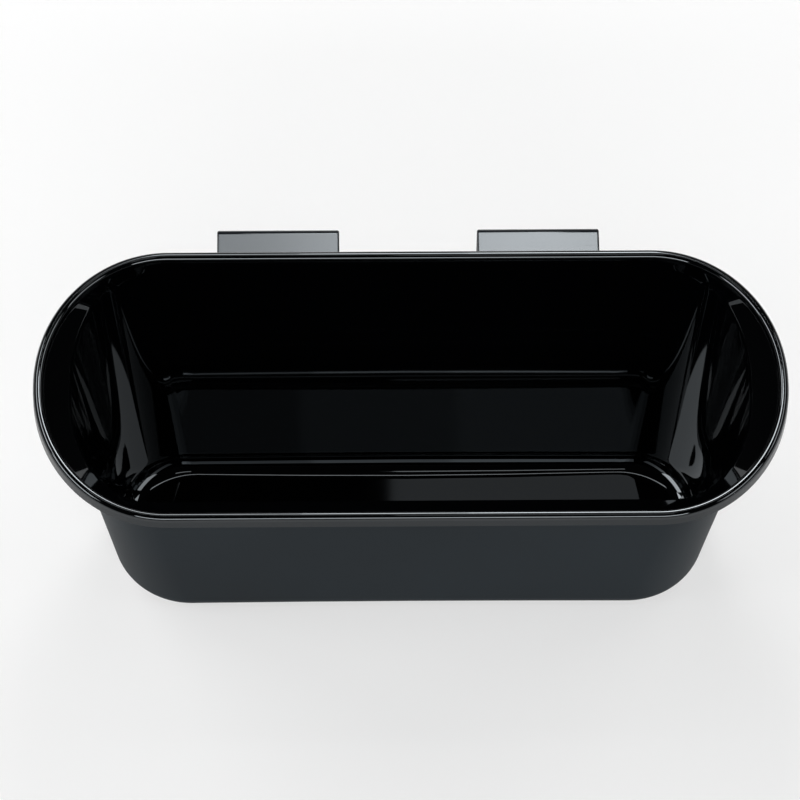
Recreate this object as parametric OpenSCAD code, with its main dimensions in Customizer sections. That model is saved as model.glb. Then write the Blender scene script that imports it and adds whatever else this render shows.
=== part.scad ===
// Open oval kitchen waste tub that hangs on the top edge of a cabinet door.
// Origin: base plane, under the middle of the rim. +X along the tub, +Y towards the door.

/* [Rim] */
// Overall length of the rim
rim_len = 350; // [300:1:400]
// Overall depth of the rim, front to door side
rim_depth = 150; // [140:1:170]
// Half axis of the rounded rim ends, along the tub
rim_end_x = 62; // [50:1:70]
// Straight piece left in the middle of each rounded rim end
rim_end_flat = 2; // [1:0.5:10]
// Radius of the rolled bead on top of the rim
bead_r = 2.4; // [2:0.1:3]
// Height of the plain skirt below the bead
skirt_h = 4.6; // [3:0.2:8]
// Width of the lip under the bead, outside to shoulder
lip_w = 3.1; // [2.6:0.1:3.8]

/* [Tub] */
// Height of the tub over the bead
tub_h = 136; // [115:1:170]
// Thickness of the moulded walls
wall_t = 2.5; // [2:0.1:3]
// Thickness of the floor
floor_t = 2.5; // [2:0.1:4]
// Drop of the shoulder crease below the top of the bead
crease_drop = 10.5; // [8:0.5:14]
// Width of the shoulder at the ends, outer rim edge to crease
shoulder_end = 17.2; // [12:0.1:22]
// Width of the shoulder at the front, outer rim edge to crease
shoulder_front = 16.9; // [12:0.1:22]
// Corner half axis of the crease along the tub
crease_corner_x = 37; // [32:1:46]
// Straight piece left in the middle of each crease end
crease_end_flat = 8; // [2:1:20]
// Lean of the end walls, crease to floor
end_taper = 21.7; // [10:0.1:24]
// Lean of the front wall, crease to floor
front_taper = 23; // [14:0.1:28]
// Lean of the rear wall, lip to floor
rear_taper = 27.1; // [18:0.1:30]
// Inside corner half axis of the floor along the tub
floor_corner_x = 33; // [26:1:40]
// Inside corner half axis of the floor across the tub
floor_corner_y = 33; // [26:1:36]
// Inside fillet between floor and walls
floor_fillet = 11; // [6:0.5:14]
// Softness of the moulded creases
crease_round = 1.8; // [1:0.1:2.5]

/* [Pockets] */
// Distance of each hook centre from the middle of the tub
hook_x = 61.2; // [50:0.1:75]
// Inside height of a hook pocket
pocket_h = 20; // [14:1:26]
// Thickness of the pocket wall that the hook grips
pocket_t = 2.2; // [1.8:0.1:2.6]
// Thickness of the pocket side walls
pocket_side = 2.4; // [2:0.2:4]
// Thickness of the guide ribs inside a pocket
rib_t = 1.6; // [1.2:0.1:2.5]

/* [Hooks] */
// Width of the hook plates
hook_w = 57.5; // [40:0.5:64]
// Thickness of the hook plates
plate_t = 2; // [1.5:0.1:2.5]
// Drop of the hook bridge below the top of the bead
bridge_drop = 16; // [13:0.5:19]
// Thickness of the cabinet door that the hooks fit
door_t = 18; // [12:0.5:22]
// Length of the hook leg behind the door
leg_h = 45; // [38:1:60]
// Outer radius of the bends at the bridge
bend_r = 4; // [3:0.1:5]
// Corner radius at the end of the rear leg
leg_corner = 8; // [3:0.5:15]
// Thickness of the foam door pads
pad_t = 0.8; // [0.6:0.1:1.2]
// Height of the foam pad on the rear leg
rear_pad_h = 28; // [15:1:30]

/* [Hidden] */

// Running clearances
door_gap = 0.4;      // door edge in the padded throat
slot_gap = 0.3;      // hook plate in its pocket, each face
side_gap = 0.5;      // hook plate in its pocket, each edge
leg_gap = 0.4;       // hook leg behind the rim skirt
face_step = 0.3;     // pocket face set in from the rim skirt
bend_gap = 1;        // hook bend under the pocket
pad_margin = 3;      // foam pad set in from the plate edges
sink = 1;            // overlap of moulded features into the shell

// Levels
skirt_z = tub_h - bead_r - skirt_h;
crease_z = tub_h - crease_drop;
lip_z = tub_h - bead_r - sink;

// Plan outlines: half length, front y, rear y, corner half axes along x, front y, rear y
rim_corner_y = (rim_depth - rim_end_flat) / 2;
RIM = [rim_len / 2, -rim_depth / 2, rim_depth / 2, rim_end_x, rim_corner_y, rim_corner_y];
crease_end = rim_len / 2 - shoulder_end;
crease_front = -rim_depth / 2 + shoulder_front;
lip_rear = rim_depth / 2 - 2 * bead_r;
floor_rear = lip_rear - rear_taper;
rear_slope = rear_taper / (lip_z - floor_t);
crease_rear = floor_rear + rear_slope * (crease_z - floor_t);
crease_corner_y = (crease_rear - crease_front - crease_end_flat) / 2;
CREASE = [crease_end, crease_front, crease_rear, crease_corner_x, crease_corner_y, crease_corner_y];
FLOOR = [crease_end - end_taper, crease_front + front_taper, floor_rear,
    floor_corner_x, floor_corner_y, floor_corner_y];

// Outer corner of the wall under the shoulder crease, offset from the inner one
wall_lean = atan(end_taper / (crease_z - floor_t));
shoulder_lean = atan((lip_z - crease_z) / (shoulder_end - 2 * bead_r));
corner_scale = wall_t / (1 + cos(90 - wall_lean - shoulder_lean));
crease_out = corner_scale * (cos(wall_lean) + sin(shoulder_lean));
crease_down = corner_scale * (sin(wall_lean) + cos(shoulder_lean));
side_wall = wall_t / cos(wall_lean);

quarter = 22;        // facets in a quarter of an outline
fillet_steps = 7;    // rings in a floor fillet
bead_steps = 10;      // rings in the rolled bead

function mix(a, b, t) = [for (i = [0 : len(a) - 1]) a[i] + (b[i] - a[i]) * t];

// One quarter ellipse, moved outwards by grow along its normal
function quarter_arc(ax, by, grow, from) = [
    for (i = [0 : quarter])
        let (t = from + 90 * i / quarter, n = [cos(t) / ax, sin(t) / by])
        [ax * cos(t), by * sin(t)] + grow * n / norm(n)
];

// Closed oval outline at height z, anticlockwise from the front right
function oval(o, grow, z) =
    let (
        front = [for (p = quarter_arc(o[3], o[4], grow, -90)) [p.x + o[0] - o[3], p.y + o[1] + o[4], z]],
        rear = [for (p = quarter_arc(o[3], o[5], grow, 0)) [p.x + o[0] - o[3], p.y + o[2] - o[5], z]],
        right = concat(front, rear),
        n = len(right)
    )
    concat(right, [for (i = [0 : n - 1]) let (p = right[n - 1 - i]) [-p.x, p.y, p.z]]);

// Rings of a fillet of radius r between the level z of ring foot and the wall up to ring top
function fillet_rings(foot, top, r) = [
    for (k = [0 : fillet_steps])
        [for (i = [0 : len(foot) - 1])
            let (
                run = [top[i].x - foot[i].x, top[i].y - foot[i].y],
                lean = atan(norm(run) / (top[i].z - foot[i].z)),
                out = run / norm(run),
                turn = 90 - (90 - lean) * k / fillet_steps,
                reach = r * (cos(turn) - 1 / cos(lean) + tan(lean))
            )
            [foot[i].x + out.x * reach, foot[i].y + out.y * reach, foot[i].z + r - r * sin(turn)]]
];

// Three rings that round the corner ring between its neighbours
function soft_rings(before, corner, after, r) =
    let (
        a = [for (i = [0 : len(corner) - 1]) corner[i]
            + r * (before[i] - corner[i]) / norm(before[i] - corner[i])],
        b = [for (i = [0 : len(corner) - 1]) corner[i]
            + r * (after[i] - corner[i]) / norm(after[i] - corner[i])]
    )
    [a, [for (i = [0 : len(corner) - 1]) (a[i] + 2 * corner[i] + b[i]) / 4], b];

// Rolled bead, inside to outside
function bead_rings() = [
    for (k = [0 : bead_steps])
        let (a = 180 * k / bead_steps)
        oval(RIM, -bead_r - bead_r * cos(a), tub_h - bead_r + bead_r * sin(a))
];

// Whole skin of the tub, from the inner floor over the rim to the base
function tub_rings() =
    let (
        floor_in = oval(FLOOR, 0, floor_t),
        crease_in = oval(CREASE, 0, crease_z),
        lip_in = oval(RIM, -2 * bead_r, lip_z),
        bead = bead_rings(),
        under_lip = oval(RIM, -lip_w, skirt_z),
        crease_low = oval(CREASE, crease_out, crease_z - crease_down),
        base_plan = mix(FLOOR, CREASE, -floor_t / (crease_z - floor_t)),
        base_out = oval(base_plan, side_wall, 0)
    )
    concat(
        fillet_rings(floor_in, crease_in, floor_fillet),
        soft_rings(floor_in, crease_in, lip_in, crease_round),
        soft_rings(crease_in, lip_in, bead[0], sink / 2),
        bead,
        [oval(RIM, 0, skirt_z), under_lip],
        soft_rings(under_lip, crease_low, base_out, crease_round),
        reverse_list(fillet_rings(base_out, crease_low, floor_fillet + wall_t))
    );

function reverse_list(v) = [for (i = [0 : len(v) - 1]) v[len(v) - 1 - i]];

// Closed solid from rings with equal point counts, with both ends capped
module skin(rings) {
    n = len(rings[0]);
    last = len(rings) - 1;
    sides = [
        for (k = [0 : last - 1], i = [0 : n - 1])
            let (j = (i + 1) % n, a = k * n, b = a + n)
            each [[a + i, b + i, b + j], [a + i, b + j, a + j]]
    ];
    first_cap = [for (i = [0 : n - 1]) n - 1 - i];
    last_cap = [for (i = [0 : n - 1]) last * n + i];
    polyhedron(points = [for (r = rings, p = r) p], faces = concat(sides, [first_cap, last_cap]));
}

// Outer face of the sloping rear wall at height z
function rear_face(z) = floor_rear + rear_slope * (z - floor_t) + wall_t * sqrt(1 + rear_slope * rear_slope);

// Pocket and hook levels, from the rear face outwards
pocket_face = rim_depth / 2 - face_step;
slot_rear = pocket_face - pocket_t;
slot_front = slot_rear - plate_t - 2 * slot_gap;
roof_z = floor_t + (slot_front - slot_gap - rear_face(floor_t)) / rear_slope;
pocket_z = roof_z - pocket_h;
slot_w = hook_w + 2 * side_gap;
leg_y = rim_depth / 2 + leg_gap;
tongue_y = slot_front + slot_gap;
tongue_top = roof_z - slot_gap;
hairpin_r = (leg_y - tongue_y - plate_t) / 2;
hairpin_z = pocket_z - bend_gap;
bridge_z = tub_h - bridge_drop;
throat = door_t + door_gap + 2 * pad_t;
rear_leg_y = leg_y + plate_t + throat;
leg_end = bridge_z - leg_h;
rear_pad_z = leg_end + leg_corner / 2 + pad_margin;
front_pad_z = hairpin_z + pad_margin;
front_pad_h = bridge_z - bend_r - pad_margin - front_pad_z;

// Profile in y and z, drawn w wide and centred on the hook at side s
module across(s, w) {
    translate([s * hook_x - w / 2, 0, 0])
        rotate([90, 0, 90])
            linear_extrude(w)
                children();
}

// Moulded pocket: roof and walls flush under the skirt, open at the bottom
module pocket(s) {
    half = wall_t / 2;
    difference() {
        across(s, slot_w + 2 * pocket_side)
            polygon([
                [rear_face(pocket_z) - half, pocket_z], [pocket_face, pocket_z],
                [pocket_face, skirt_z + sink], [rear_face(skirt_z + sink) - half, skirt_z + sink]
            ]);
        across(s, slot_w)
            polygon([
                [rear_face(pocket_z - sink), pocket_z - sink], [slot_rear, pocket_z - sink],
                [slot_rear, roof_z], [rear_face(roof_z), roof_z]
            ]);
    }
}

// Guide ribs that hold the hook tongue off the sloping wall
module pocket_ribs(s) {
    half = wall_t / 2;
    for (i = [-1 : 1])
        translate([i * slot_w / 3, 0, 0])
            across(s, rib_t)
                polygon([
                    [rear_face(pocket_z) - half, pocket_z], [slot_front, pocket_z],
                    [slot_front, roof_z + half], [rear_face(roof_z + half) - half, roof_z + half]
                ]);
}

module tub() {
    color("#2b2e31") {
        skin(tub_rings());
        for (s = [-1, 1]) {
            pocket(s);
            pocket_ribs(s);
        }
    }
}

// Ring sector of a bend, quadrant given by the signs sy and sz
module bend(y, z, r_out, sy, sz) {
    translate([y, z])
        intersection() {
            difference() {
                circle(r_out, $fn = 48);
                circle(r_out - plate_t, $fn = 48);
            }
            translate([sy < 0 ? -r_out : 0, sz < 0 ? -r_out : 0])
                square(r_out);
        }
}

// Folded hook: tongue, hairpin, front leg, bridge over the door, rear leg
module hook_profile() {
    hairpin_y = leg_y - hairpin_r;
    top = bridge_z - bend_r;
    rear_bend_y = rear_leg_y + plate_t - bend_r;
    translate([tongue_y, hairpin_z])
        square([plate_t, tongue_top - hairpin_z]);
    for (sy = [-1, 1])
        bend(hairpin_y, hairpin_z, hairpin_r + plate_t, sy, -1);
    translate([leg_y, hairpin_z])
        square([plate_t, top - hairpin_z]);
    bend(leg_y + bend_r, top, bend_r, -1, 1);
    translate([leg_y + bend_r, bridge_z - plate_t])
        square([rear_bend_y - leg_y - bend_r, plate_t]);
    bend(rear_bend_y, top, bend_r, 1, 1);
    translate([rear_leg_y, leg_end])
        square([plate_t, top - leg_end]);
}

// Cutter for the two rounded corners at the end of the rear leg
module leg_corner_cut(s) {
    for (e = [-1, 1])
        translate([s * hook_x + e * (hook_w / 2 - leg_corner), rear_leg_y - sink, leg_end + leg_corner])
            difference() {
                translate([e < 0 ? -leg_corner - sink : 0, 0, -leg_corner - sink])
                    cube([leg_corner + sink, plate_t + 2 * sink, leg_corner + sink]);
                rotate([-90, 0, 0])
                    cylinder(h = plate_t + 2 * sink, r = leg_corner, $fn = 48);
            }
}

module hook(s) {
    color("#3a3d40")
        difference() {
            across(s, hook_w)
                hook_profile();
            leg_corner_cut(s);
        }
}

module rear_pad(s) {
    color("#17181a")
        translate([s * hook_x - hook_w / 2 + pad_margin, rear_leg_y - pad_t, rear_pad_z])
            cube([hook_w - 2 * pad_margin, pad_t, rear_pad_h]);
}

module front_pad(s) {
    color("#17181a")
        translate([s * hook_x - hook_w / 2 + pad_margin, leg_y + plate_t, front_pad_z])
            cube([hook_w - 2 * pad_margin, pad_t, front_pad_h]);
}

module hook_left() { hook(-1); }
module hook_right() { hook(1); }
module rear_pad_left() { rear_pad(-1); }
module rear_pad_right() { rear_pad(1); }
module front_pad_left() { front_pad(-1); }
module front_pad_right() { front_pad(1); }

tub();
hook_left();
hook_right();
rear_pad_left();
rear_pad_right();
front_pad_left();
front_pad_right();
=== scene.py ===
import logging
import math
from dataclasses import dataclass
from enum import Enum
from typing import ClassVar, Sequence

import bmesh
import bpy
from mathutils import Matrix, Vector


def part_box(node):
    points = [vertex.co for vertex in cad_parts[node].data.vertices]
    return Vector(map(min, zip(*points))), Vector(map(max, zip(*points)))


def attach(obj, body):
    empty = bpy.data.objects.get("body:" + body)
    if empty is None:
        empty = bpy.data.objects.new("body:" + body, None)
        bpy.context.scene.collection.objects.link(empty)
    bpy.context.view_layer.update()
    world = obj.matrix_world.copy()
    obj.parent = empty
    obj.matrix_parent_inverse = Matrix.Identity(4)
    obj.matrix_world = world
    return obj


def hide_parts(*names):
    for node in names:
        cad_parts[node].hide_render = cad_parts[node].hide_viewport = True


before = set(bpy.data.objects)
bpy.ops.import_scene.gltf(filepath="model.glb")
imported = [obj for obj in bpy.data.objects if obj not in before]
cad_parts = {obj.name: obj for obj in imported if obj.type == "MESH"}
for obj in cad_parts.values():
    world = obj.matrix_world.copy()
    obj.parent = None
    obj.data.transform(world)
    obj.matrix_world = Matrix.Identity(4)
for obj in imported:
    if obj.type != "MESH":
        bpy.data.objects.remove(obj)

LOG = logging.getLogger("hanging_tub")
MM = 0.001

# Faces larger than this are flat panels, such as a hook's bridge.
PANEL_AREA = 90 * MM * MM
# Edges that turn by more than this, in radians, are the corners of a shape.
CORNER_TURN = 1.0
# Two coordinates closer than this are the same.
SAME = 1e-5
# Where a straight stretch gets points: close to both ends, so that its shading stays flat.
EVEN_STOPS = (0.015, 0.25, 0.5, 0.75, 0.985)
SHORT_STOPS = (0.06, 0.5, 0.94)

# The surface group's patterns, in repeats per metre. The handling marks run at an angle, given
# in radians, and fade in where their noise passes through a range.
MOTTLE_SCALE = 18.0
MARK_SCALE = (40.0, 900.0, 900.0)
MARK_TURN = (0.0, 0.3, 0.5)
MARK_RANGE = (0.62, 0.72)
# Height of the mould's grain at full strength.
GRAIN_STEP = 0.1 * MM
# Middle of a noise pattern's range.
NOISE_MIDDLE = 0.5

Ring = list[Vector]
Profile = list[tuple[float, float]]


class Side(Enum):
    """The two hooks' places along the tub."""

    LEFT = -1
    RIGHT = 1

    @property
    def word(self) -> str:
        """Lower-case name of the side."""
        return self.name.lower()


class Leg(Enum):
    """The two legs of a hook that carry a pad."""

    REAR = "rear"
    FRONT = "front"


class Merge(Enum):
    """Ways to combine two closed shapes."""

    JOIN = "UNION"
    CUT = "DIFFERENCE"


class ShellPart(Enum):
    """Parts of the tub that differ in finish; the value is the material's index."""

    INSIDE = 0
    OUTSIDE = 1
    SKIRT = 2


# ---------------------------------------------------------------- node groups


def group_node(group: bpy.types.NodeTree, kind: str, **values: object) -> bpy.types.Node:
    """Adds a node to a node tree and sets its inputs.

    Args:
        group: Node tree that receives the node.
        kind: Blender's type name of the node.
        values: Node properties, or input values where the name is an input.

    Returns:
        The new node.
    """
    node = group.nodes.new(kind)
    for name, value in values.items():
        key = name.replace("_", " ").title() if name.islower() else name
        if key in node.inputs:
            node.inputs[key].default_value = value
        else:
            setattr(node, name, value)
    return node


def surface_group() -> bpy.types.NodeTree:
    """Builds the shared surface group: fine mould texture, mottle and handling marks.

    Returns:
        A node group that puts out roughness and a bump normal.
    """
    group = bpy.data.node_groups.new("moulded_surface", "ShaderNodeTree")
    face = group.interface
    for name, default in (
        ("Roughness", 0.2),
        ("Mottle", 0.04),
        ("Grain Scale", 900.0),
        ("Grain Height", 0.1),
        ("Scratch Amount", 0.05),
    ):
        socket = face.new_socket(name, in_out="INPUT", socket_type="NodeSocketFloat")
        socket.default_value = default
    face.new_socket("Roughness", in_out="OUTPUT", socket_type="NodeSocketFloat")
    face.new_socket("Normal", in_out="OUTPUT", socket_type="NodeSocketVector")

    link = group.links.new
    entry = group.nodes.new("NodeGroupInput")
    leave = group.nodes.new("NodeGroupOutput")
    place = group.nodes.new("ShaderNodeTexCoord")

    cloud = group_node(group, "ShaderNodeTexNoise", scale=MOTTLE_SCALE, detail=4.0)
    link(place.outputs["Object"], cloud.inputs["Vector"])
    centred = group_node(group, "ShaderNodeMath", operation="SUBTRACT")
    centred.inputs[1].default_value = NOISE_MIDDLE
    link(cloud.outputs["Fac"], centred.inputs[0])
    mottle = group_node(group, "ShaderNodeMath", operation="MULTIPLY")
    link(centred.outputs[0], mottle.inputs[0])
    link(entry.outputs["Mottle"], mottle.inputs[1])

    stretch = group_node(group, "ShaderNodeMapping")
    stretch.inputs["Scale"].default_value = MARK_SCALE
    stretch.inputs["Rotation"].default_value = MARK_TURN
    link(place.outputs["Object"], stretch.inputs["Vector"])
    streak = group_node(group, "ShaderNodeTexNoise", scale=1.0, detail=2.0)
    link(stretch.outputs["Vector"], streak.inputs["Vector"])
    thin = group_node(group, "ShaderNodeMapRange")
    thin.inputs["From Min"].default_value, thin.inputs["From Max"].default_value = MARK_RANGE
    link(streak.outputs["Fac"], thin.inputs["Value"])
    scratch = group_node(group, "ShaderNodeMath", operation="MULTIPLY")
    link(thin.outputs["Result"], scratch.inputs[0])
    link(entry.outputs["Scratch Amount"], scratch.inputs[1])

    both = group_node(group, "ShaderNodeMath", operation="ADD")
    link(mottle.outputs[0], both.inputs[0])
    link(scratch.outputs[0], both.inputs[1])
    total = group_node(group, "ShaderNodeMath", operation="ADD", use_clamp=True)
    link(entry.outputs["Roughness"], total.inputs[0])
    link(both.outputs[0], total.inputs[1])
    link(total.outputs[0], leave.inputs["Roughness"])

    grain = group_node(group, "ShaderNodeTexNoise", detail=2.0)
    link(place.outputs["Object"], grain.inputs["Vector"])
    link(entry.outputs["Grain Scale"], grain.inputs["Scale"])
    bump = group_node(group, "ShaderNodeBump", distance=GRAIN_STEP)
    link(grain.outputs["Fac"], bump.inputs["Height"])
    link(entry.outputs["Grain Height"], bump.inputs["Strength"])
    link(bump.outputs["Normal"], leave.inputs["Normal"])
    return group


@dataclass(frozen=True)
class Finish:
    """A coated or moulded finish and the values that its surface group takes."""

    CLOUD_SCALE: ClassVar[float] = 9.0
    SHADES: ClassVar[tuple[tuple[float, float], ...]] = ((0.3, 0.85), (0.7, 1.15))

    name: str
    color: tuple[float, float, float]
    roughness: float
    mottle: float
    grain_scale: float
    grain_height: float
    scratches: float
    specular: float = 0.5
    ior: float = 1.5
    tint: tuple[float, float, float] = (1.0, 1.0, 1.0)

    def material(self, group: bpy.types.NodeTree) -> bpy.types.Material:
        """Builds the material.

        Args:
            group: The shared surface group.

        Returns:
            The finished material.
        """
        made = bpy.data.materials.new(self.name)
        made.use_nodes = True
        tree = made.node_tree
        shader = tree.nodes["Principled BSDF"]
        shader.inputs["Specular IOR Level"].default_value = self.specular
        shader.inputs["Specular Tint"].default_value = (*self.tint, 1.0)
        shader.inputs["IOR"].default_value = self.ior
        surface = tree.nodes.new("ShaderNodeGroup")
        surface.node_tree = group
        surface.inputs["Roughness"].default_value = self.roughness
        surface.inputs["Mottle"].default_value = self.mottle
        surface.inputs["Grain Scale"].default_value = self.grain_scale
        surface.inputs["Grain Height"].default_value = self.grain_height
        surface.inputs["Scratch Amount"].default_value = self.scratches
        tree.links.new(surface.outputs["Roughness"], shader.inputs["Roughness"])
        tree.links.new(surface.outputs["Normal"], shader.inputs["Normal"])

        place = tree.nodes.new("ShaderNodeTexCoord")
        cloud = group_node(tree, "ShaderNodeTexNoise", scale=self.CLOUD_SCALE, detail=3.0)
        tree.links.new(place.outputs["Object"], cloud.inputs["Vector"])
        ramp = tree.nodes.new("ShaderNodeValToRGB")
        for stop, (position, level) in zip(ramp.color_ramp.elements, self.SHADES):
            stop.position = position
            stop.color = (*(c * level for c in self.color), 1.0)
        tree.links.new(cloud.outputs["Fac"], ramp.inputs["Fac"])
        tree.links.new(ramp.outputs["Color"], shader.inputs["Base Color"])
        return made


# ---------------------------------------------------------------- mesh helpers


def finish_piece(
    bm: bmesh.types.BMesh,
    name: str,
    material: bpy.types.Material,
    body: str,
    node: str,
    smooth_angle: float,
    flat_area: float = math.inf,
) -> bpy.types.Object:
    """Turns a bmesh into a piece that rides on a body and stands for a CAD node.

    Args:
        bm: The finished shape; it is freed here.
        name: Name of the piece.
        material: Its material.
        body: The CAD body that it rides on.
        node: The CAD node that it stands for.
        smooth_angle: Edges bent by more than this many degrees stay sharp.
        flat_area: Faces larger than this are flat panels and keep one normal.

    Returns:
        The new object.
    """
    bmesh.ops.recalc_face_normals(bm, faces=bm.faces)
    limit = math.radians(smooth_angle)
    for face in bm.faces:
        face.smooth = face.calc_area() < flat_area
    for edge in bm.edges:
        edge.smooth = len(edge.link_faces) == 2 and edge.calc_face_angle(0.0) < limit
    mesh = bpy.data.meshes.new(name)
    bm.to_mesh(mesh)
    bm.free()
    mesh.materials.append(material)
    piece = bpy.data.objects.new(name, mesh)
    bpy.context.scene.collection.objects.link(piece)
    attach(piece, body)
    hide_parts(node)
    LOG.info("%s: %d faces, rides on %s", name, len(mesh.polygons), body)
    return piece


def new_verts(made: dict[str, list]) -> list[bmesh.types.BMVert]:
    """Vertices in the geometry that an extrusion made."""
    return [item for item in made["geom"] if isinstance(item, bmesh.types.BMVert)]


def round_edges(
    bm: bmesh.types.BMesh, edges: list[bmesh.types.BMEdge], reach: float, segments: int
) -> None:
    """Rounds edges of a shape.

    Args:
        bm: The shape.
        edges: The edges to round.
        reach: Distance from the edge at which the rounding starts.
        segments: Number of facets in the rounding.
    """
    bmesh.ops.bevel(
        bm,
        geom=edges,
        offset=reach,
        offset_type="OFFSET",
        segments=segments,
        profile=0.5,
        affect="EDGES",
        material=-1,
    )


def loop_edges(
    bm: bmesh.types.BMesh, loop: list[bmesh.types.BMVert]
) -> list[bmesh.types.BMEdge]:
    """Edges of a closed loop of vertices, in order."""
    return [bm.edges.get((vert, after)) for vert, after in zip(loop, loop[1:] + loop[:1])]


def extend_loop(
    bm: bmesh.types.BMesh, loop: list[bmesh.types.BMVert], targets: Ring
) -> list[bmesh.types.BMVert]:
    """Extrudes a closed loop of vertices and moves the new ones to their places.

    Args:
        bm: The mesh that grows.
        loop: Vertices of the open edge loop, in order.
        targets: Where the new vertices go, in the same order.

    Returns:
        The new loop, in the same order.
    """
    fresh = set(new_verts(bmesh.ops.extrude_edge_only(bm, edges=loop_edges(bm, loop))))
    result = []
    for vert, target in zip(loop, targets):
        twin = next(e.other_vert(vert) for e in vert.link_edges if e.other_vert(vert) in fresh)
        twin.co = target
        result.append(twin)
    return result


def cap_loop(bm: bmesh.types.BMesh, loop: list[bmesh.types.BMVert], margin: float) -> None:
    """Closes an open loop with a flat face that has a narrow border.

    Args:
        bm: The mesh.
        loop: Vertices of the open loop, in order.
        margin: Width of the border.
    """
    cap = bmesh.ops.edgeloop_fill(bm, edges=loop_edges(bm, loop))["faces"]
    bmesh.ops.inset_region(bm, faces=cap, thickness=margin, use_even_offset=True)


def prism(profile: Profile, start: float, end: float) -> bmesh.types.BMesh:
    """Extrudes a side view along the tub.

    Args:
        profile: Corners of the side view, y and z.
        start: Where the prism starts along X.
        end: Where it ends.

    Returns:
        The closed prism.
    """
    bm = bmesh.new()
    side = bm.faces.new([bm.verts.new((start, y, z)) for y, z in profile])
    grown = bmesh.ops.extrude_face_region(bm, geom=[side])
    bmesh.ops.translate(bm, verts=new_verts(grown), vec=(end - start, 0, 0))
    bmesh.ops.recalc_face_normals(bm, faces=bm.faces)
    return bm


def combined(bm: bmesh.types.BMesh, tool: bmesh.types.BMesh, way: Merge) -> bmesh.types.BMesh:
    """Joins or cuts one closed shape with another.

    Args:
        bm: The shape that is kept; it is freed here.
        tool: The shape that is added or taken away; it is freed here.
        way: Whether the tool is joined on or cut away.

    Returns:
        The combined shape.
    """
    pair = []
    for part, name in ((bm, "kept_shape"), (tool, "tool_shape")):
        mesh = bpy.data.meshes.new(name)
        part.to_mesh(mesh)
        part.free()
        pair.append(bpy.data.objects.new(name, mesh))
        bpy.context.scene.collection.objects.link(pair[-1])
    kept, cutter = pair
    change = kept.modifiers.new("combine", "BOOLEAN")
    change.operation = way.value
    change.solver = "EXACT"
    change.object = cutter
    result = bmesh.new()
    result.from_object(kept, bpy.context.evaluated_depsgraph_get())
    for part in pair:
        mesh = part.data
        bpy.data.objects.remove(part)
        bpy.data.meshes.remove(mesh)
    return result


# ---------------------------------------------------------------- tub


@dataclass(frozen=True)
class Outline:
    """Oval plan outline with quarter ellipses at its corners, in metres."""

    CORNER_STEPS: ClassVar[int] = 40

    half: float
    front: float
    rear: float
    corner_x: float
    corner_front: float
    corner_rear: float

    def mixed(self, other: "Outline", share: float) -> "Outline":
        """Outline part of the way to another one.

        Args:
            other: The outline at share 1.
            share: How far to go, 0 to 1.

        Returns:
            The outline between them.
        """
        mine, theirs = (list(vars(o).values()) for o in (self, other))
        return Outline(*(a + (b - a) * share for a, b in zip(mine, theirs)))

    def quarter(self, depth: float, start: float, grow: float) -> Profile:
        """Points of one corner, relative to its centre.

        Args:
            depth: Half axis across the tub.
            start: First angle, in degrees.
            grow: Distance that the points move outwards.

        Returns:
            The corner's points, x and y.
        """
        points = []
        for i in range(self.CORNER_STEPS + 1):
            turn = math.radians(start + 90.0 * i / self.CORNER_STEPS)
            normal = Vector((math.cos(turn) / self.corner_x, math.sin(turn) / depth)).normalized()
            points.append(
                (
                    self.corner_x * math.cos(turn) + grow * normal.x,
                    depth * math.sin(turn) + grow * normal.y,
                )
            )
        return points

    def ring(self, height: float, grow: float = 0.0) -> Ring:
        """Closed ring of points round the outline, anticlockwise from the front right.

        Args:
            height: Level of the ring.
            grow: Distance that the ring moves outwards.

        Returns:
            The ring's points.
        """
        centre_x = self.half - self.corner_x
        front = [
            Vector((x + centre_x, y + self.front + self.corner_front, height))
            for x, y in self.quarter(self.corner_front, -90.0, grow)
        ]
        rear = [
            Vector((x + centre_x, y + self.rear - self.corner_rear, height))
            for x, y in self.quarter(self.corner_rear, 0.0, grow)
        ]
        right = front + rear
        left = [Vector((-p.x, p.y, p.z)) for p in reversed(right)]
        rear_side = [right[-1].lerp(left[0], stop) for stop in EVEN_STOPS]
        front_side = [left[-1].lerp(right[0], stop) for stop in EVEN_STOPS]
        return right + rear_side + left + front_side


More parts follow.
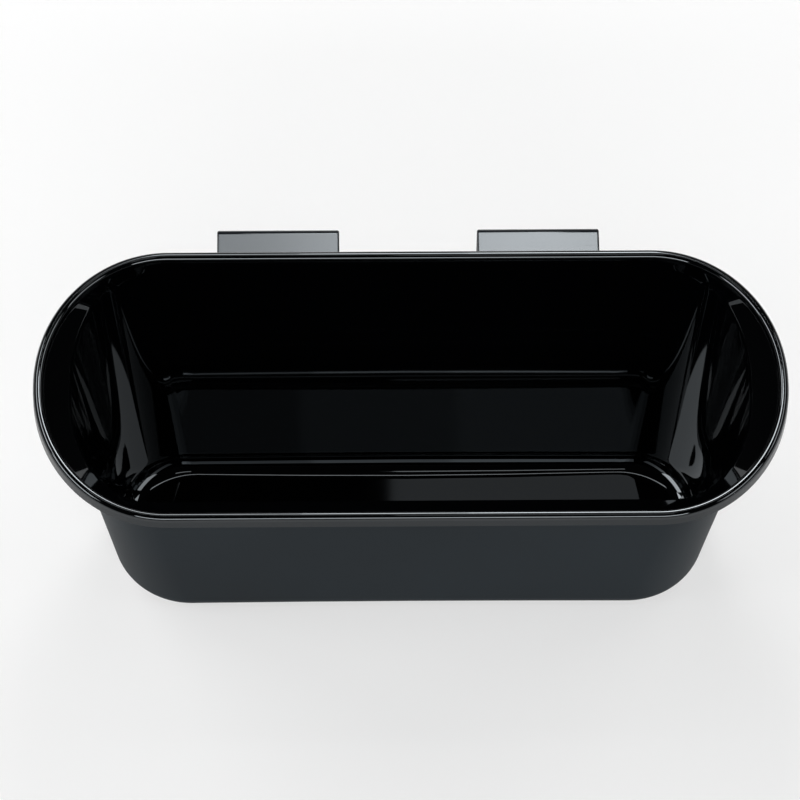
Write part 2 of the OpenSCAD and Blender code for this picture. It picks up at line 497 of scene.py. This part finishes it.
@dataclass
class TubShell:
    """The moulded tub: floor, drafted walls, shoulder, rolled bead and skirt. Metres."""

    FILLET_STEPS: ClassVar[int] = 24
    OUTER_FILLET_STEPS: ClassVar[int] = 14
    BEAD_STEPS: ClassVar[int] = 20
    CREASE_STEPS: ClassVar[int] = 6
    LIP_STEPS: ClassVar[int] = 4
    SKIRT_STOPS: ClassVar[tuple[float, float]] = (0.08, 0.92)
    UNDER_STOPS: ClassVar[tuple[float, float]] = (0.1, 0.9)
    FACING_DOWN: ClassVar[float] = -0.5
    SMOOTH_ANGLE: ClassVar[float] = 50.0

    length: float = 350 * MM
    depth: float = 150 * MM
    height: float = 136 * MM
    wall: float = 2.5 * MM
    floor: float = 2.5 * MM
    end_axis: float = 62 * MM
    end_flat: float = 2 * MM
    bead: float = 2.4 * MM
    skirt: float = 4.6 * MM
    lip: float = 3.1 * MM
    crease_drop: float = 10.5 * MM
    shoulder_end: float = 17.2 * MM
    shoulder_front: float = 16.9 * MM
    crease_axis: float = 37 * MM
    crease_flat: float = 8 * MM
    end_taper: float = 21.7 * MM
    front_taper: float = 23 * MM
    rear_taper: float = 27.1 * MM
    floor_corner: float = 33 * MM
    fillet: float = 11 * MM
    crease_round: float = 1.8 * MM
    sink: float = 1 * MM
    cap_border: float = 1.5 * MM
    margin: float = 0.1 * MM

    def rim(self) -> Outline:
        """Outer outline of the rim."""
        corner = (self.depth - self.end_flat) / 2
        return Outline(
            self.length / 2, -self.depth / 2, self.depth / 2, self.end_axis, corner, corner
        )

    def rear_slope(self) -> float:
        """Lean of the rear wall, outwards for each unit of height."""
        return self.rear_taper / (self.lip_level() - self.floor)

    def lip_level(self) -> float:
        """Level of the bead's inner foot."""
        return self.height - self.bead - self.sink

    def skirt_level(self) -> float:
        """Level of the skirt's lower edge."""
        return self.height - self.bead - self.skirt

    def crease_level(self) -> float:
        """Level of the shoulder's crease."""
        return self.height - self.crease_drop

    def rear_foot(self) -> float:
        """Place where the inner face of the rear wall would meet the floor."""
        return self.depth / 2 - 2 * self.bead - self.rear_taper

    def crease(self) -> Outline:
        """Inner outline at the shoulder's crease."""
        rear = self.rear_foot() + self.rear_slope() * (self.crease_level() - self.floor)
        front = -self.depth / 2 + self.shoulder_front
        corner = (rear - front - self.crease_flat) / 2
        return Outline(
            self.length / 2 - self.shoulder_end, front, rear, self.crease_axis, corner, corner
        )

    def bottom(self) -> Outline:
        """Inner outline of the floor before its fillet."""
        crease = self.crease()
        return Outline(
            crease.half - self.end_taper,
            crease.front + self.front_taper,
            self.rear_foot(),
            self.floor_corner,
            self.floor_corner,
            self.floor_corner,
        )

    def rear_face(self, level: float) -> float:
        """Outer face of the rear wall at a level."""
        slope = self.rear_slope()
        rear = self.rear_foot() + slope * (level - self.floor)
        return rear + self.wall * math.hypot(1.0, slope)

    @staticmethod
    def fillet_rings(foot: Ring, top: Ring, radius: float, steps: int) -> list[Ring]:
        """Rings of the fillet between a flat floor and a leaning wall.

        Args:
            foot: Ring where floor and wall would meet.
            top: Ring at the wall's upper end.
            radius: Radius of the fillet.
            steps: Number of facets round the fillet.

        Returns:
            Rings from the floor to the wall.
        """
        rings = []
        for k in range(steps + 1):
            ring = []
            for low, high in zip(foot, top):
                run = Vector((high.x - low.x, high.y - low.y))
                lean = math.atan2(run.length, high.z - low.z)
                turn = math.pi / 2 - (math.pi / 2 - lean) * k / steps
                reach = radius * (math.cos(turn) - 1 / math.cos(lean) + math.tan(lean))
                out = run.normalized() * reach
                ring.append(
                    Vector((low.x + out.x, low.y + out.y, low.z + radius * (1 - math.sin(turn))))
                )
            rings.append(ring)
        return rings

    @staticmethod
    def soft_corner(
        before: Ring, corner: Ring, after: Ring, reach: float, steps: int
    ) -> list[Ring]:
        """Rings that round a corner between two straight stretches of the section.

        Args:
            before: Ring before the corner.
            corner: Ring at the corner.
            after: Ring after the corner.
            reach: Distance from the corner at which the rounding starts.
            steps: Number of facets in the rounding.

        Returns:
            The rounding's rings.
        """
        rings = []
        for k in range(steps + 1):
            share = k / steps
            ring = []
            for a, c, b in zip(before, corner, after):
                start = c + (a - c).normalized() * reach
                end = c + (b - c).normalized() * reach
                ring.append(
                    start * (1 - share) ** 2 + c * (2 * share * (1 - share)) + end * share**2
                )
            rings.append(ring)
        return rings

    @staticmethod
    def stretch(first: Ring, last: Ring, stops: Sequence[float]) -> list[Ring]:
        """Rings part of the way between two rings."""
        return [[a.lerp(b, stop) for a, b in zip(first, last)] for stop in stops]

    def sections(self) -> list[Ring]:
        """All rings of the skin, from the inner floor over the rim to the base."""
        rim, crease, bottom = self.rim(), self.crease(), self.bottom()
        crease_z, lip_z = self.crease_level(), self.lip_level()
        under_z = self.skirt_level()

        foot_in = bottom.ring(self.floor)
        crease_in = crease.ring(crease_z)
        lip_in = rim.ring(lip_z, -2 * self.bead)
        bead = [
            rim.ring(
                self.height - self.bead + self.bead * math.sin(turn),
                -self.bead - self.bead * math.cos(turn),
            )
            for turn in (math.pi * k / self.BEAD_STEPS for k in range(self.BEAD_STEPS + 1))
        ]

        lean = math.atan2(self.end_taper, crease_z - self.floor)
        shoulder = math.atan2(lip_z - crease_z, self.shoulder_end - 2 * self.bead)
        scale = self.wall / (1 + math.sin(lean + shoulder))
        crease_low = crease.ring(
            crease_z - scale * (math.sin(lean) + math.cos(shoulder)),
            scale * (math.cos(lean) + math.sin(shoulder)),
        )
        under_lip = rim.ring(under_z, -self.lip)
        base_plan = bottom.mixed(crease, -self.floor / (crease_z - self.floor))
        base = base_plan.ring(0.0, self.wall / math.cos(lean))

        inner = self.fillet_rings(foot_in, crease_in, self.fillet, self.FILLET_STEPS)
        outer = self.fillet_rings(
            base, crease_low, self.fillet + self.wall, self.OUTER_FILLET_STEPS
        )[::-1]
        rounding = self.crease_round, self.CREASE_STEPS
        soft_crease = self.soft_corner(foot_in, crease_in, lip_in, *rounding)
        soft_low = self.soft_corner(under_lip, crease_low, base, *rounding)
        soft_lip = self.soft_corner(crease_in, lip_in, bead[0], self.sink / 2, self.LIP_STEPS)
        skirt_foot = rim.ring(under_z)

        return [
            *inner,
            *self.stretch(inner[-1], soft_crease[0], EVEN_STOPS),
            *soft_crease,
            *self.stretch(soft_crease[-1], soft_lip[0], SHORT_STOPS),
            *soft_lip,
            *bead,
            *self.stretch(bead[-1], skirt_foot, self.SKIRT_STOPS),
            skirt_foot,
            *self.stretch(skirt_foot, under_lip, self.UNDER_STOPS),
            under_lip,
            *self.stretch(under_lip, soft_low[0], SHORT_STOPS),
            *soft_low,
            *self.stretch(soft_low[-1], outer[0], EVEN_STOPS),
            *outer,
        ]

    def build(
        self,
        gloss: bpy.types.Material,
        satin: bpy.types.Material,
        rim_satin: bpy.types.Material,
    ) -> bpy.types.Object:
        """Builds the tub as one closed shell.

        Args:
            gloss: The polished plastic of the inside and the bead.
            satin: The fine-textured plastic of the outside.
            rim_satin: The duller plastic of the skirt below the bead.

        Returns:
            The tub piece.
        """
        rings = self.sections()
        bm = bmesh.new()
        circle = bmesh.ops.create_circle(bm, cap_ends=False, segments=len(rings[0]), radius=1.0)
        first = loop = list(circle["verts"])
        for vert, target in zip(loop, rings[0]):
            vert.co = target
        for ring in rings[1:]:
            loop = extend_loop(bm, loop, ring)
        cap_loop(bm, first, self.cap_border)
        cap_loop(bm, loop, self.cap_border)
        self.mark_parts(bm)
        tub = finish_piece(
            bm, "tub_shell", gloss, "tub_body", "tub", self.SMOOTH_ANGLE
        )
        tub.data.materials.append(satin)
        tub.data.materials.append(rim_satin)
        return tub

    def mark_parts(self, bm: bmesh.types.BMesh) -> None:
        """Gives each face the material of its part of the tub."""
        bmesh.ops.recalc_face_normals(bm, faces=bm.faces)
        for face in bm.faces:
            face.material_index = self.part_of(face).value

    def part_of(self, face: bmesh.types.BMFace) -> ShellPart:
        """Part of the tub that a face belongs to.

        Args:
            face: A face of the shell, with its normal pointing out of the plastic.

        Returns:
            Outside or skirt below the bead, and otherwise inside.
        """
        centre = face.calc_center_median()
        away = Vector((centre.x, centre.y, 0.0))
        faces_out = face.normal.dot(away) > 0 or face.normal.z < self.FACING_DOWN
        if not faces_out or centre.z >= self.height - self.bead - self.margin:
            return ShellPart.INSIDE
        if centre.z < self.skirt_level() - self.margin:
            return ShellPart.OUTSIDE
        return ShellPart.SKIRT


# ---------------------------------------------------------------- hooks


@dataclass(frozen=True)
class PocketPlan:
    """Faces and levels of the pockets moulded on the tub's rear wall. Metres."""

    depth: float = 20 * MM
    wall: float = 2.2 * MM
    face_step: float = 0.3 * MM
    plate: float = 2 * MM
    gap: float = 0.3 * MM

    def face(self) -> float:
        """Rear face of the pocket's wall."""
        return TubShell().depth / 2 - self.face_step

    def slot_rear(self) -> float:
        """Rear face of the slot."""
        return self.face() - self.wall

    def slot_front(self) -> float:
        """Front face of the slot."""
        return self.slot_rear() - self.plate - 2 * self.gap

    def roof(self) -> float:
        """Level of the pocket's roof."""
        tub = TubShell()
        reach = self.slot_front() - self.gap - tub.rear_face(tub.floor)
        return tub.floor + reach / tub.rear_slope()

    def bottom(self) -> float:
        """Level of the pocket's open end."""
        return self.roof() - self.depth


@dataclass
class DoorHook:
    """A folded plate hook: tongue, hairpin, front leg, bridge and rear leg. Metres."""

    BEND_STEPS: ClassVar[int] = 12
    CORNER_STEPS: ClassVar[int] = 10
    EDGE_STEPS: ClassVar[int] = 4
    SMOOTH_ANGLE: ClassVar[float] = 40.0

    side: Side
    plate: float = 2 * MM
    bend: float = 4 * MM
    hairpin: float = 1.6 * MM
    hairpin_drop: float = 1 * MM
    leg_corner: float = 8 * MM
    tongue_corner: float = 3 * MM
    tongue_gap: float = 0.3 * MM
    edge: float = 0.9 * MM
    leg_gap: float = 0.4 * MM
    plan: PocketPlan = PocketPlan()

    @property
    def node(self) -> str:
        """Name of the CAD node that this hook stands for."""
        return f"hook_{self.side.word}"

    def grow(
        self, bm: bmesh.types.BMesh, edge: bmesh.types.BMEdge, step: Vector
    ) -> bmesh.types.BMEdge:
        """Extrudes the strip's end straight on.

        Args:
            bm: The strip.
            edge: Its end edge.
            step: How far and which way it grows.

        Returns:
            The new end edge.
        """
        verts = new_verts(bmesh.ops.extrude_edge_only(bm, edges=[edge]))
        bmesh.ops.translate(bm, verts=verts, vec=step)
        return bm.edges.get(verts)

    def turn(
        self, bm: bmesh.types.BMesh, edge: bmesh.types.BMEdge, centre: Vector, angle: float
    ) -> bmesh.types.BMEdge:
        """Bends the strip's end round an axis along the tub.

        Args:
            bm: The strip.
            edge: Its end edge.
            centre: A point on the bend's axis.
            angle: Turn about +X, in degrees.

        Returns:
            The new end edge.
        """
        made = bmesh.ops.spin(
            bm,
            geom=[edge, *edge.verts],
            cent=centre,
            axis=(1, 0, 0),
            angle=math.radians(angle),
            steps=self.BEND_STEPS,
            use_merge=False,
            use_duplicate=False,
        )["geom_last"]
        return next(item for item in made if isinstance(item, bmesh.types.BMEdge))

    def build(self, material: bpy.types.Material) -> bpy.types.Object:
        """Builds the hook from one folded strip.

        Args:
            material: The hook's coating.

        Returns:
            The hook piece.
        """
        low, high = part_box(self.node)
        leg_y = TubShell().depth / 2 + self.leg_gap
        tongue_y = leg_y - 2 * self.hairpin
        hairpin_z = self.hairpin_level()
        bend_z = high[2] - self.bend
        rear_y = high[1]

        bm = bmesh.new()
        start = [bm.verts.new((x, tongue_y, self.tongue_top())) for x in (low[0], high[0])]
        edge = bm.edges.new(start)
        edge = self.grow(bm, edge, Vector((0, 0, hairpin_z - self.tongue_top())))
        edge = self.turn(bm, edge, Vector((0, tongue_y + self.hairpin, hairpin_z)), 180.0)
        edge = self.grow(bm, edge, Vector((0, 0, bend_z - hairpin_z)))
        edge = self.turn(bm, edge, Vector((0, leg_y + self.bend, bend_z)), -90.0)
        edge = self.grow(bm, edge, Vector((0, rear_y - leg_y - 2 * self.bend, 0)))
        edge = self.turn(bm, edge, Vector((0, rear_y - self.bend, bend_z)), -90.0)
        self.grow(bm, edge, Vector((0, 0, low[2] - bend_z)))
        return self.thicken(bm, material)

    def hairpin_level(self) -> float:
        """Level of the hairpin's axis, below the pocket's open end."""
        return self.plan.bottom() - self.hairpin_drop

    def tongue_top(self) -> float:
        """Level of the tongue's tip."""
        return self.plan.roof() - self.tongue_gap

    def thicken(self, bm: bmesh.types.BMesh, material: bpy.types.Material) -> bpy.types.Object:
        """Gives the strip its thickness and rounds its corners and edges.

        Args:
            bm: The strip's outer face.
            material: The hook's coating.

        Returns:
            The hook piece.
        """
        bmesh.ops.recalc_face_normals(bm, faces=bm.faces)
        bridge = max(bm.faces, key=lambda f: f.calc_center_median().z)
        if bridge.normal.z < 0:
            bmesh.ops.reverse_faces(bm, faces=bm.faces)
        bmesh.ops.solidify(bm, geom=list(bm.faces), thickness=self.plate)
        bmesh.ops.recalc_face_normals(bm, faces=bm.faces)
        self.round_corners(bm)
        sharp = [
            e for e in bm.edges if len(e.link_faces) == 2 and e.calc_face_angle(0.0) > CORNER_TURN
        ]
        round_edges(bm, sharp, self.edge, self.EDGE_STEPS)
        return finish_piece(
            bm,
            f"{self.node}_plate",
            material,
            f"{self.node}_body",
            self.node,
            self.SMOOTH_ANGLE,
            PANEL_AREA,
        )

    def round_corners(self, bm: bmesh.types.BMesh) -> None:
        """Rounds the plate's corners at the rear leg's end and the tongue's tip."""
        lowest = min(v.co.z for v in bm.verts)
        rim_y = TubShell().depth / 2
        for level, radius, behind_rim in (
            (lowest, self.leg_corner, True),
            (self.tongue_top(), self.tongue_corner, False),
        ):
            corners = [
                e
                for e in bm.edges
                if abs(e.verts[0].co.x - e.verts[1].co.x) < SAME
                and all(abs(v.co.z - level) < SAME for v in e.verts)
                and all((v.co.y > rim_y) == behind_rim for v in e.verts)
            ]
            round_edges(bm, corners, radius, self.CORNER_STEPS)


@dataclass
class HookPocket:
    """A downward-open pocket with guide ribs that takes a hook's tongue. Metres."""

    CORNER_STEPS: ClassVar[int] = 6
    SMOOTH_ANGLE: ClassVar[float] = 35.0

    side: Side
    side_wall: float = 2.4 * MM
    side_gap: float = 0.5 * MM
    rib: float = 1.6 * MM
    sink: float = 1 * MM
    plan: PocketPlan = PocketPlan()

    def outline(self) -> Profile:
        """Side view of the pocket's block, y and z."""
        tub, plan = TubShell(), self.plan
        top = tub.skirt_level() + self.sink
        inside = tub.wall / 2
        return [
            (tub.rear_face(plan.bottom()) - inside, plan.bottom()),
            (plan.face(), plan.bottom()),
            (plan.face(), top),
            (tub.rear_face(top) - inside, top),
        ]

    def slot(self) -> Profile:
        """Side view of the space that takes the tongue, y and z."""
        tub, plan = TubShell(), self.plan
        low = plan.bottom() - self.sink
        return [
            (tub.rear_face(low) - tub.wall, low),
            (plan.slot_rear(), low),
            (plan.slot_rear(), plan.roof()),
            (tub.rear_face(plan.roof()) - tub.wall, plan.roof()),
        ]

    def rib_outline(self) -> Profile:
        """Side view of a guide rib, y and z."""
        tub, plan = TubShell(), self.plan
        inside = tub.wall / 2
        top = plan.roof() + inside
        return [
            (tub.rear_face(plan.bottom()) - inside, plan.bottom()),
            (plan.slot_front(), plan.bottom()),
            (plan.slot_front(), top),
            (tub.rear_face(top) - inside, top),
        ]

    def build(self, material: bpy.types.Material) -> bpy.types.Object:
        """Builds the pocket's walls, roof and ribs as one moulding.

        Args:
            material: The moulded plastic.

        Returns:
            The pocket piece.
        """
        low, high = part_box(f"hook_{self.side.word}")
        middle = (low[0] + high[0]) / 2
        half = (high[0] - low[0]) / 2 + self.side_gap
        outer = half + self.side_wall
        bm = prism(self.outline(), middle - outer, middle + outer)
        corners = [
            e
            for e in bm.edges
            if abs(e.verts[0].co.z - e.verts[1].co.z) > self.plan.depth / 2
            and all(v.co.y > self.plan.slot_rear() for v in e.verts)
        ]
        round_edges(bm, corners, self.side_wall / 2, self.CORNER_STEPS)
        bm = combined(bm, prism(self.slot(), middle - half, middle + half), Merge.CUT)
        for step in (-1, 0, 1):
            at = middle + step * 2 * half / 3
            rib = prism(self.rib_outline(), at - self.rib / 2, at + self.rib / 2)
            bm = combined(bm, rib, Merge.JOIN)
        return finish_piece(
            bm,
            f"hook_pocket_{self.side.word}",
            material,
            "tub_body",
            "tub",
            self.SMOOTH_ANGLE,
        )


# ---------------------------------------------------------------- pads


@dataclass
class DoorPad:
    """A die-cut foam pad that keeps a hook from marking the door. Metres."""

    CORNER_STEPS: ClassVar[int] = 8
    EDGE_STEPS: ClassVar[int] = 3
    SMOOTH_ANGLE: ClassVar[float] = 40.0

    side: Side
    leg: Leg
    corner: float = 3 * MM
    edge: float = 0.2 * MM

    @property
    def node(self) -> str:
        """Name of the CAD node that this pad stands for."""
        return f"{self.leg.value}_pad_{self.side.word}"

    def build(self, material: bpy.types.Material) -> bpy.types.Object:
        """Builds the pad with rounded corners and softened edges.

        Args:
            material: The foam.

        Returns:
            The pad piece.
        """
        low, high = (Vector(corner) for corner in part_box(self.node))
        bm = bmesh.new()
        bmesh.ops.create_cube(bm, size=1.0)
        bmesh.ops.scale(bm, verts=bm.verts, vec=high - low)
        bmesh.ops.translate(bm, verts=bm.verts, vec=(low + high) / 2)
        across = [e for e in bm.edges if abs(e.verts[0].co.y - e.verts[1].co.y) > SAME]
        round_edges(bm, across, self.corner, self.CORNER_STEPS)
        rims = [e for e in bm.edges if e.calc_face_angle(0.0) > CORNER_TURN]
        round_edges(bm, rims, self.edge, self.EDGE_STEPS)
        return finish_piece(
            bm,
            f"{self.node}_foam",
            material,
            f"hook_{self.side.word}_body",
            self.node,
            self.SMOOTH_ANGLE,
        )


# ---------------------------------------------------------------- studio


def heading(azimuth: float, elevation: float) -> Vector:
    """Unit vector in a direction round the tub.

    Args:
        azimuth: Turn from straight back, in degrees, growing towards the left.
        elevation: Rise above the level, in degrees.

    Returns:
        The direction.
    """
    turn, rise = math.radians(azimuth), math.radians(elevation)
    level = math.cos(rise)
    return Vector((-math.sin(turn) * level, math.cos(turn) * level, math.sin(rise)))


@dataclass(frozen=True)
class Softbox:
    """A rectangular studio light aimed at the tub."""

    name: str
    azimuth: float
    elevation: float
    distance: float
    width: float
    height: float
    radiance: float
    shift: float = 0.0

    def build(self, target: Vector) -> bpy.types.Object:
        """Places the light.

        Args:
            target: Point that the light faces.

        Returns:
            The light object.
        """
        way = heading(self.azimuth, self.elevation)
        data = bpy.data.lights.new(self.name, "AREA")
        data.shape = "RECTANGLE"
        data.size = self.width
        data.size_y = self.height
        data.energy = self.radiance * math.pi * self.width * self.height
        lamp = bpy.data.objects.new(self.name, data)
        facing = way.to_track_quat("Z", "Y")
        sideways = facing @ Vector((1.0, 0.0, 0.0))
        lamp.location = target + way * self.distance + sideways * self.shift
        lamp.rotation_mode = "QUATERNION"
        lamp.rotation_quaternion = facing
        bpy.context.scene.collection.objects.link(lamp)
        return lamp


@dataclass
class Studio:
    """Pale floor, soft lights and the camera. Metres and degrees; lens and sensor in mm."""

    floor_size: float = 5.6
    floor_gap: float = 0.2 * MM
    wall_height: float = 0.38
    floor_color: float = 0.9
    floor_roughness: float = 0.9
    floor_specular: float = 0.1
    backdrop: float = 1.07
    backdrop_share: float = 0.5
    sky: float = 0.01
    light_aim: tuple[float, float, float] = (0.0, 0.0, 0.07)
    pitch: float = 56.1
    yaw: float = -1.40
    roll: float = 0.84
    distance: float = 3.6966
    aim: tuple[float, float, float] = (-0.00524, -0.00985, 0.136)
    lens: float = 360.0
    sensor: float = 36.0
    clip_end: float = 100.0
    softboxes: tuple[Softbox, ...] = (
        Softbox("rear_key_left", 0.0, 49.5, 1.1, 0.11, 0.32, 7.5, shift=0.105),
        Softbox("rear_key_middle", 0.0, 49.5, 1.1, 0.1, 0.32, 12.0),
        Softbox("rear_key_right", 0.0, 49.5, 1.1, 0.12, 0.32, 16.5, shift=-0.11),
        Softbox("left_softbox", 100.0, 33.5, 2.2, 1.2, 0.62, 6.4),
        Softbox("right_softbox", -106.0, 34.0, 2.2, 1.1, 0.62, 3.4),
        Softbox("left_rear_softbox", 56.0, 41.0, 2.2, 1.3, 0.4, 7.5),
        Softbox("right_rear_softbox", -56.0, 41.0, 2.2, 1.3, 0.4, 4.0),
        Softbox("front_softbox", 180.0, 29.0, 2.2, 2.1, 0.46, 8.5),
        Softbox("rear_ceiling_strip", 0.0, 77.0, 2.2, 1.6, 0.12, 3.5),
        Softbox("front_ceiling_strip", 180.0, 81.3, 2.2, 0.4, 0.16, 2.2, shift=0.22),
    )

    def build_floor(self) -> None:
        """Lays the pale floor, with a low wall all round it, just below the tub."""
        bm = bmesh.new()
        bmesh.ops.create_grid(bm, x_segments=1, y_segments=1, size=self.floor_size / 2)
        walls = bmesh.ops.extrude_edge_only(bm, edges=bm.edges[:])
        bmesh.ops.translate(bm, vec=(0.0, 0.0, self.wall_height), verts=new_verts(walls))
        mesh = bpy.data.meshes.new("floor")
        bm.to_mesh(mesh)
        bm.free()
        mesh.materials.append(self.floor_paint())
        floor = bpy.data.objects.new("floor", mesh)
        floor.location.z = -self.floor_gap
        bpy.context.scene.collection.objects.link(floor)

    def floor_paint(self) -> bpy.types.Material:
        """Builds the floor's pale paint.

        It takes shadows like any paint, and to the camera and in mirror images it also glows,
        so that it looks evenly bright.

        Returns:
            The paint.
        """
        paint = bpy.data.materials.new("pale_floor")
        paint.use_nodes = True
        tree = paint.node_tree
        link = tree.links.new
        shader = tree.nodes["Principled BSDF"]
        shader.inputs["Base Color"].default_value = (*[self.floor_color] * 3, 1.0)
        shader.inputs["Roughness"].default_value = self.floor_roughness
        shader.inputs["Specular IOR Level"].default_value = self.floor_specular
        glow = group_node(tree, "ShaderNodeEmission", strength=1.0)
        glow.inputs["Color"].default_value = (*[self.backdrop] * 3, 1.0)

        rays = tree.nodes.new("ShaderNodeLightPath")
        seen = group_node(tree, "ShaderNodeMath", operation="MAXIMUM")
        link(rays.outputs["Is Camera Ray"], seen.inputs[0])
        link(rays.outputs["Is Glossy Ray"], seen.inputs[1])
        shown = group_node(tree, "ShaderNodeMath", operation="MAXIMUM")
        link(seen.outputs[0], shown.inputs[0])
        link(rays.outputs["Is Transmission Ray"], shown.inputs[1])
        share = group_node(tree, "ShaderNodeMath", operation="MULTIPLY")
        share.inputs[1].default_value = self.backdrop_share
        link(shown.outputs[0], share.inputs[0])

        mix = tree.nodes.new("ShaderNodeMixShader")
        link(share.outputs[0], mix.inputs["Fac"])
        link(shader.outputs["BSDF"], mix.inputs[1])
        link(glow.outputs["Emission"], mix.inputs[2])
        link(mix.outputs["Shader"], tree.nodes["Material Output"].inputs["Surface"])
        return paint

    def build_world(self) -> None:
        """Gives the room a dim, even sky."""
        world = bpy.data.worlds.new("studio_world")
        world.use_nodes = True
        sky = world.node_tree.nodes["Background"]
        sky.inputs["Color"].default_value = (1.0, 1.0, 1.0, 1.0)
        sky.inputs["Strength"].default_value = self.sky
        bpy.context.scene.world = world

    def build_camera(self) -> None:
        """Sets up the camera: high above the front, with a long lens."""
        yaw, roll = math.radians(self.yaw), math.radians(self.roll)
        ahead = heading(self.yaw, -self.pitch)
        right = Vector((math.cos(yaw), math.sin(yaw), 0.0))
        up = right.cross(ahead)
        side = right * math.cos(roll) + up * math.sin(roll)
        top = up * math.cos(roll) - right * math.sin(roll)
        data = bpy.data.cameras.new("camera")
        data.lens = self.lens
        data.sensor_width = self.sensor
        data.clip_end = self.clip_end
        camera = bpy.data.objects.new("camera", data)
        matrix = camera.matrix_world.to_3x3()
        matrix.col[0], matrix.col[1], matrix.col[2] = side, top, -ahead
        camera.matrix_world = matrix.to_4x4()
        camera.location = Vector(self.aim) - ahead * self.distance
        bpy.context.scene.collection.objects.link(camera)
        bpy.context.scene.camera = camera

    def build(self) -> None:
        """Builds the whole studio."""
        self.build_camera()
        self.build_floor()
        self.build_world()
        for box in self.softboxes:
            box.build(Vector(self.light_aim))
        bpy.context.scene.view_settings.view_transform = "Standard"


# ---------------------------------------------------------------- assembly

COOL = (0.88, 0.95, 1.0)
PLASTIC = Finish(
    name="gloss_black_plastic",
    color=(0.0005, 0.0006, 0.0008),
    roughness=0.03,
    mottle=0.01,
    grain_scale=500.0,
    grain_height=0.0,
    scratches=0.01,
    ior=1.6,
    tint=COOL,
)
SATIN = Finish(
    name="satin_black_plastic",
    color=(0.012, 0.0175, 0.022),
    roughness=0.45,
    mottle=0.04,
    grain_scale=1500.0,
    grain_height=0.04,
    scratches=0.02,
    specular=0.03,
)
RIM_SATIN = Finish(
    name="semi_gloss_black_plastic",
    color=(0.006, 0.0085, 0.0105),
    roughness=0.25,
    mottle=0.02,
    grain_scale=1500.0,
    grain_height=0.02,
    scratches=0.02,
    specular=0.25,
    tint=COOL,
)
COATING = Finish(
    name="satin_black_coating",
    color=(0.01, 0.012, 0.015),
    roughness=0.14,
    mottle=0.02,
    grain_scale=2500.0,
    grain_height=0.01,
    scratches=0.02,
    specular=0.36,
    tint=COOL,
)
FOAM = Finish(
    name="black_foam",
    color=(0.016, 0.016, 0.017),
    roughness=0.92,
    mottle=0.05,
    grain_scale=1800.0,
    grain_height=0.6,
    scratches=0.0,
    specular=0.25,
)


def main() -> None:
    """Builds the studio and every piece in order."""
    logging.basicConfig(level=logging.INFO, format="%(name)s: %(message)s")
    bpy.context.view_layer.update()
    group = surface_group()
    plastic, satin, rim_satin, coating, foam = (
        finish.material(group) for finish in (PLASTIC, SATIN, RIM_SATIN, COATING, FOAM)
    )

    Studio().build()
    TubShell().build(plastic, satin, rim_satin)
    for side in Side:
        DoorHook(side).build(coating)
        HookPocket(side).build(satin)
        for leg in Leg:
            DoorPad(side, leg).build(foam)


if __name__ == "__main__":
    main()
